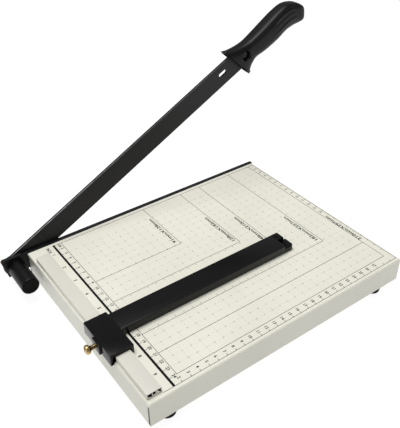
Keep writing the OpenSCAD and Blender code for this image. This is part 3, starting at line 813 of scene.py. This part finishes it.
class TRIMMER_OT_fasteners(bpy.types.Operator):
    """Finishes the plated screws, rivets, washers, bolt, nut and spring, and the folded ribs"""
    bl_idname = "trimmer.fasteners"
    bl_label = "Plated steel"

    def execute(self, context):
        dress(spangled_metal("bright_zinc_plate", "#B9BBBD", 0.34), "rib_rivets", "foot_screws",
              "rail_screws", "knife_screws", "pivot_bolt", "pivot_rear_washer", "pivot_spring",
              "pivot_spring_washer", "pivot_nut", "handle_nut", "bar_screws")
        dress(spangled_metal("dull_zinc_sheet", "#9C9E9D", 0.5), "stiffener_ribs")
        dress(spangled_metal("blackened_steel", "#3A3A3C", 0.45), "handle_screw")
        return {"FINISHED"}


class TRIMMER_OT_feet(bpy.types.Operator):
    """Moulds the four rubber feet"""
    bl_idname = "trimmer.feet"
    bl_label = "Feet"

    def execute(self, context):
        lo, hi = (np.array(corner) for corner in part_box("feet"))
        high, wide = hi[2], FOOT_WIDE / 2
        profile = rounded([(FOOT_BORE / 2, 0), (wide * 0.9, 0), (wide, high), (FOOT_BORE / 2, high)],
                          [0.1 * MM, 1.2 * MM, 0.5 * MM, 0.1 * MM])
        ring = turned(np.concatenate([profile, profile[:1]]), 48)
        places = [(x, y, 0) for x in (lo[0] + wide, hi[0] - wide) for y in (lo[1] + wide, hi[1] - wide)]
        feet = mesh_object("rubber_feet", *join(*[loop(ring + place) for place in places]))
        finish(feet, rubber("moulded_black_rubber"), "base", "black_rubber", "feet")
        return {"FINISHED"}


# Blade arm, pivot and handle

class TRIMMER_OT_blade(bpy.types.Operator):
    """Makes the blade arm with its ground edge and slot, and finishes the fixed knife"""
    bl_idname = "trimmer.blade"
    bl_label = "Blade arm and fixed knife"

    def execute(self, context):
        enamel = black_enamel("satin_black_enamel", tuple(colours().black))
        dress(enamel, "bed_knife")
        half, thick = ARM_WIDE / 2, ARM_THICK / 2
        # Stations along the arm: a half-round pivot end, the full width, and the tang inside the grip
        turn = np.linspace(0.12, math.pi / 2, 14)
        along = np.concatenate([-half * np.cos(turn), [half, half + GRIND_RUN],
                                np.linspace(0.1, 1, 12) * ARM_LONG,
                                [ARM_LONG + 0.1 * MM, ARM_LONG + TANG_LONG]])
        high = np.concatenate([half * np.sin(turn), np.full(14, half), np.full(2, TANG_WIDE / 2)])
        ground = smooth(along, half, half + GRIND_RUN) * (along <= ARM_LONG)
        rings = np.stack([blade_ring(s, h, thick, g) for s, h, g in zip(along, high, ground)])
        arm = mesh_object("blade_bar", *skin(on_arm(rings)))
        # Painted highlight along the near top corner, most towards the pivot, and faintly on the other
        # corners
        painted_highlight = np.outer([0.3, 0.1, 0.1, 0.3, 1.7], [0, 1, 1, 1, 1, 0]).ravel()
        fade = 1 - 0.8 * smooth(along, 0.15 * ARM_LONG, 0.6 * ARM_LONG)
        mark(arm, "edge", (painted_highlight * fade[:, None]).ravel())
        corner = np.array([SLOT_LONG, SLOT_WIDE]) / 2
        slot = rounded(corner * [(-1, -1), (1, -1), (1, 1), (-1, 1)], SLOT_WIDE * 0.49, 6)
        bore = turned([(BOLT_WIDE / 2, -2 * thick), (BOLT_WIDE / 2, 2 * thick)], 46)[..., [0, 2, 1]]
        opening = np.stack([np.insert(slot + SLOT_AT, 1, y, axis=1) for y in (-2 * thick, 2 * thick)])
        carve(arm, mesh_object("slot_cut", *skin(on_arm(opening))),
              mesh_object("bore_cut", *skin(on_arm(bore))))
        finish(arm, enamel, "arm", "black_enamel", "blade_arm")
        return {"FINISHED"}


class TRIMMER_OT_pivot(bpy.types.Operator):
    """Turns the moulded cap over the pivot spring"""
    bl_idname = "trimmer.pivot"
    bl_label = "Pivot cap"

    def execute(self, context):
        lo, hi = (np.array(corner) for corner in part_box("pivot_cap"))
        wide, long = (hi[0] - lo[0]) / 2, hi[1] - lo[1]
        bore, floor = wide - CAP_WALL, long - CAP_END
        shape = rounded([(0.2 * MM, floor), (bore, floor), (bore, 0), (wide, 0), (wide, long),
                         (wide * 0.72, long), (wide * 0.68, long - CAP_DISH), (0.2 * MM, long - CAP_DISH)],
                        np.array([0.02, 0.3, 0.2, 0.3, 1.5, 0.2, 0.2, 0.02]) * MM)
        profile = np.concatenate([shape, shape[:1]])
        rings = turned(profile, 72)
        centre = np.array([(lo[0] + hi[0]) / 2, hi[1], (lo[2] + hi[2]) / 2])
        rings = np.stack([rings[..., 0], -rings[..., 2], rings[..., 1]], -1)
        cap = mesh_object("moulded_pivot_cap", *loop(rings + centre))
        finish(cap, moulded_plastic("moulded_black_cap", tuple(colours().plastic), 0.36, 0.18), "base",
               "black_moulded", "pivot_cap")
        # The end of the cap is duller than its side
        cap.data.materials.append(moulded_plastic("dull_cap_end", tuple(colours().plastic), 0.6, 0.08))
        for face in cap.data.polygons:
            face.material_index = int(face.center.y < lo[1] + CAP_DULL and face.normal.y < -0.7)
        return {"FINISHED"}


def grip_rings():
    """Rings of the grip in the arm's frame: superellipses on a spline through the handle's stations.

    Height and thickness go with |sin|^p and |cos|^p of the angle round the grip, and the ring is pushed out
    by Gaussian ridges and in by the side panels.
    """
    rows = spline(HANDLE_STATIONS, 24)
    share, centre, tall, thick, lean = (column[:, None] for column in rows.T)
    angle = np.linspace(0, 2 * math.pi, 96, endpoint=False)[None]
    # The section gets squarer behind the guard, with a step in along each side below the top band
    body = smooth(share, 0.08, 0.3)
    up, out = np.sin(angle), np.cos(angle)
    rise, side = (np.sign(wave) * np.abs(wave) ** (0.8 - 0.22 * body) for wave in (up, out))
    tall, thick = tall * (1 - 0.035 * body), thick * (1 - 0.05 * body)
    panel = smooth(share, 0.14, 0.22) * (1 - smooth(share, 0.86, 0.93))
    panel = panel * (1 - smooth(up, 0.62, 0.74)) * smooth(up, -0.92, -0.8)
    places = RIDGE_AT[:sizes().ridges, None, None]
    ridge = np.exp(-((up - places) / RIDGE_WIDE) ** 2).sum(axis=0)
    ridge = ridge * smooth(share, 0.46, 0.60) * (1 - smooth(share, 0.84, 0.90))
    raised = (sizes().ridge / MM) * (ridge - 0.9 * panel)
    swell = 1 + raised / np.hypot(up * tall, out * thick)
    high, across = tall * rise * swell, thick * side * swell
    along = HANDLE_START / MM + HANDLE_LONG / MM * share - lean * high
    rings = np.stack(np.broadcast_arrays(along, across, centre + high), -1) * MM
    # The guard's open end: a lip and a shallow hollow behind it
    shrink = 1 - GUARD_LIP / MM / np.stack([np.inf * thick[0], thick[0], tall[0]], -1)
    middle = np.array([HANDLE_START, 0, centre[0, 0] * MM])
    lip = middle + (rings[0] - middle) * shrink
    return np.concatenate([[lip + [GUARD_HOLLOW, 0, 0], lip], rings])


class TRIMMER_OT_handle(bpy.types.Operator):
    """Lofts the moulded grip with its flared guard, side panels, ridges and hooked pommel"""
    bl_idname = "trimmer.handle"
    bl_label = "Handle"

    def execute(self, context):
        grip = mesh_object("moulded_grip", *skin(on_arm(grip_rings())), crease=50)
        dish = SCREW_RECESS / 2 * np.array([0.9, 0.98, 1.0, 1.06, 1.2, 1.6])
        depth = np.array([0, 0.4, 3.6, 4.6, 5.6, 8.6]) * MM
        hole = turned(np.stack([dish, depth], -1), 40)[..., [0, 2, 1]]
        screw_s, screw_t = HANDLE_SCREW
        cuts = [on_arm(hole * [1, np.sign(y), 1] + [screw_s, y, screw_t]) for y in RECESS_FROM]
        carve(grip, *[mesh_object("recess_cut", *skin(cut)) for cut in cuts])
        finish(grip, moulded_plastic("moulded_black_grip", tuple(colours().plastic), 0.4, 0.2), "arm",
               "black_moulded", "handle")
        return {"FINISHED"}


# Paper guide and its thumb screw

class TRIMMER_OT_guide(bpy.types.Operator):
    """Makes the guide's saddle head, its drawn bar and its stepped end cap"""
    bl_idname = "trimmer.guide"
    bl_label = "Paper guide"

    def execute(self, context):
        plastic = moulded_plastic("moulded_black_head", tuple(colours().plastic), 0.2, 0.22)
        finish(guide_head(), plastic, "guide", "black_moulded", "guide_head")
        lo, hi = (np.array(corner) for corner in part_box("guide_bar"))
        section = rounded([(lo[1], lo[2]), (hi[1], lo[2]), (hi[1], hi[2]), (lo[1], hi[2])], 0.6 * MM, 6)
        rings = bar_rings(section, lo[0] + 0.05 * MM, hi[0], 0.2 * MM)
        bar = mesh_object("drawn_guide_bar", *skin(rings[..., [2, 0, 1]]))
        finish(bar, anodised_aluminium("drawn_black_aluminium", tuple(colours().plastic)), "guide",
               "black_anodised", "guide_bar")
        finish(end_cap(lo, hi), plastic, "guide", "black_moulded", "guide_end_cap")
        return {"FINISHED"}


class TRIMMER_OT_thumb_screw(bpy.types.Operator):
    """Turns the brass thumb screw and cuts its slot, and finishes its nut"""
    bl_idname = "trimmer.thumb_screw"
    bl_label = "Thumb screw"

    def execute(self, context):
        brass = turned_brass("turned_yellow_brass", tuple(colours().brass))
        dress(brass, "clamp_nut")
        lo, hi = (np.array(corner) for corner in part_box("thumb_screw"))
        head, shank, long = (hi[2] - lo[2]) / 2, THUMB_SHANK / 2, hi[0] - lo[0]
        crown = np.linspace(0.05, math.pi / 2, 12)
        dome = np.stack([head * np.sin(crown), THUMB_DOME * (1 - np.cos(crown))], -1)
        neck = spline(np.array([(head, 3.4 * MM), (head * 0.93, 4.4 * MM), (shank * 1.35, 5.2 * MM),
                                (shank * 1.12, 6.4 * MM), (shank, 8.2 * MM)]), 6)
        tip = np.array([(shank, long - THUMB_CHAMFER), (shank - THUMB_CHAMFER, long)])
        rings = turned(np.concatenate([dome, neck, tip]), 48)
        centre = np.array([lo[0], (lo[1] + hi[1]) / 2, (lo[2] + hi[2]) / 2])
        screw = mesh_object("turned_thumb_screw", *skin(rings[..., [2, 0, 1]] + centre))
        wide = np.array([*THUMB_SLOT, 2 * head])
        carve(screw, mesh_object("slot_cut", *boxes(centre - wide, centre + wide)))
        finish(screw, brass, "thumb", "turned_brass", "thumb_screw")
        return {"FINISHED"}


# Stage

# The photograph's camera: its place in the object's frame, its aim in degrees, its focal length in pixels
CAMERA_PLACE = Vector((-312.8, -415.6, 465.8)) * MM
CAMERA_HEADING = 35.60
CAMERA_DOWN = 35.74
CAMERA_ROLL = -0.70
CAMERA_FOCAL_PX = 622.5
PHOTO_LONG_SIDE_PX = 428
SENSOR_MM = 36
# The floor's half width in metres, its grey and its glow, and the strength of the sky
FLOOR_REACH = 60.0
FLOOR_GREY = 0.15
FLOOR_GLOW = 0.91
SKY = 0.32
# The soft box: place and size in metres, and power in watts
KEY_PLACE = (-0.2, 0.24, 1.75)
KEY_SIZE = 0.95
KEY_POWER = 24


def aim(heading, down, roll):
    """A camera's turn: level along +Y, lowered, turned towards +X, and rolled about its view."""
    return (Matrix.Rotation(-math.radians(heading), 3, "Z")
            @ Matrix.Rotation(math.radians(90 - down), 3, "X")
            @ Matrix.Rotation(math.radians(roll), 3, "Z"))


def soft_light(name, place, size, power):
    """A white square soft box at a place, facing the object's origin."""
    lamp = bpy.data.lights.new(name, "AREA")
    lamp.size = size
    lamp.energy = power
    holder = bpy.data.objects.new(name, lamp)
    holder.location = place
    holder.rotation_euler = (-Vector(place)).to_track_quat("-Z", "Y").to_euler()
    bpy.context.scene.collection.objects.link(holder)


class TRIMMER_OT_stage(bpy.types.Operator):
    """Sets the camera, the pale floor and the soft light"""
    bl_idname = "trimmer.stage"
    bl_label = "Stage"

    def execute(self, context):
        lens = bpy.data.cameras.new("camera")
        lens.sensor_width = SENSOR_MM
        lens.lens = CAMERA_FOCAL_PX / PHOTO_LONG_SIDE_PX * SENSOR_MM
        lens.clip_start = 0.01
        camera = bpy.data.objects.new("camera", lens)
        camera.location = CAMERA_PLACE
        camera.rotation_euler = aim(CAMERA_HEADING, CAMERA_DOWN, CAMERA_ROLL).to_euler()
        context.scene.collection.objects.link(camera)
        context.scene.camera = camera

        square = np.array([(-1, -1, 0), (1, -1, 0), (1, 1, 0), (-1, 1, 0)])
        floor = mesh_object("floor", square * FLOOR_REACH, [[0, 1, 2, 3]])
        paper, _, shader = new_material("white_floor", 0.9)
        shader.inputs["Base Color"].default_value = (FLOOR_GREY, FLOOR_GREY, FLOOR_GREY, 1)
        shader.inputs["Emission Color"].default_value = (1, 1, 1, 1)
        shader.inputs["Emission Strength"].default_value = FLOOR_GLOW
        floor.data.materials.append(paper)

        soft_light("key", KEY_PLACE, KEY_SIZE, KEY_POWER)
        world = bpy.data.worlds.new("studio")
        world.use_nodes = True
        sky = world.node_tree.nodes["Background"]
        sky.inputs["Color"].default_value = (1, 1, 1, 1)
        sky.inputs["Strength"].default_value = SKY
        context.scene.world = world
        context.scene.view_settings.view_transform = "Standard"
        return {"FINISHED"}


class TRIMMER_PT_sidebar(bpy.types.Panel):
    """Lists the trimmer's settings and pieces"""
    bl_label = "Paper trimmer"
    bl_idname = "TRIMMER_PT_sidebar"
    bl_space_type = "VIEW_3D"
    bl_region_type = "UI"
    bl_category = "Trimmer"

    def draw(self, context):
        for group in (context.scene.trimmer_colours, context.scene.trimmer_sizes):
            for key in group.__annotations__:
                self.layout.prop(group, key)
        for operator in OPERATORS:
            self.layout.operator(operator.bl_idname)


OPERATORS = (TRIMMER_OT_stage, TRIMMER_OT_board, TRIMMER_OT_print, TRIMMER_OT_fasteners,
             TRIMMER_OT_feet, TRIMMER_OT_blade, TRIMMER_OT_pivot, TRIMMER_OT_handle, TRIMMER_OT_guide,
             TRIMMER_OT_thumb_screw)
CLASSES = (TrimmerColours, TrimmerSizes, *OPERATORS, TRIMMER_PT_sidebar)


def register():
    for cls in CLASSES:
        bpy.utils.register_class(cls)
    bpy.types.Scene.trimmer_colours = PointerProperty(type=TrimmerColours)
    bpy.types.Scene.trimmer_sizes = PointerProperty(type=TrimmerSizes)


def unregister():
    del bpy.types.Scene.trimmer_sizes
    del bpy.types.Scene.trimmer_colours
    for cls in reversed(CLASSES):
        bpy.utils.unregister_class(cls)


def main():
    """Builds every piece in order."""
    register()
    for operator in OPERATORS:
        group, call = operator.bl_idname.split(".")
        getattr(getattr(bpy.ops, group), call)()


if __name__ == "__main__":
    main()
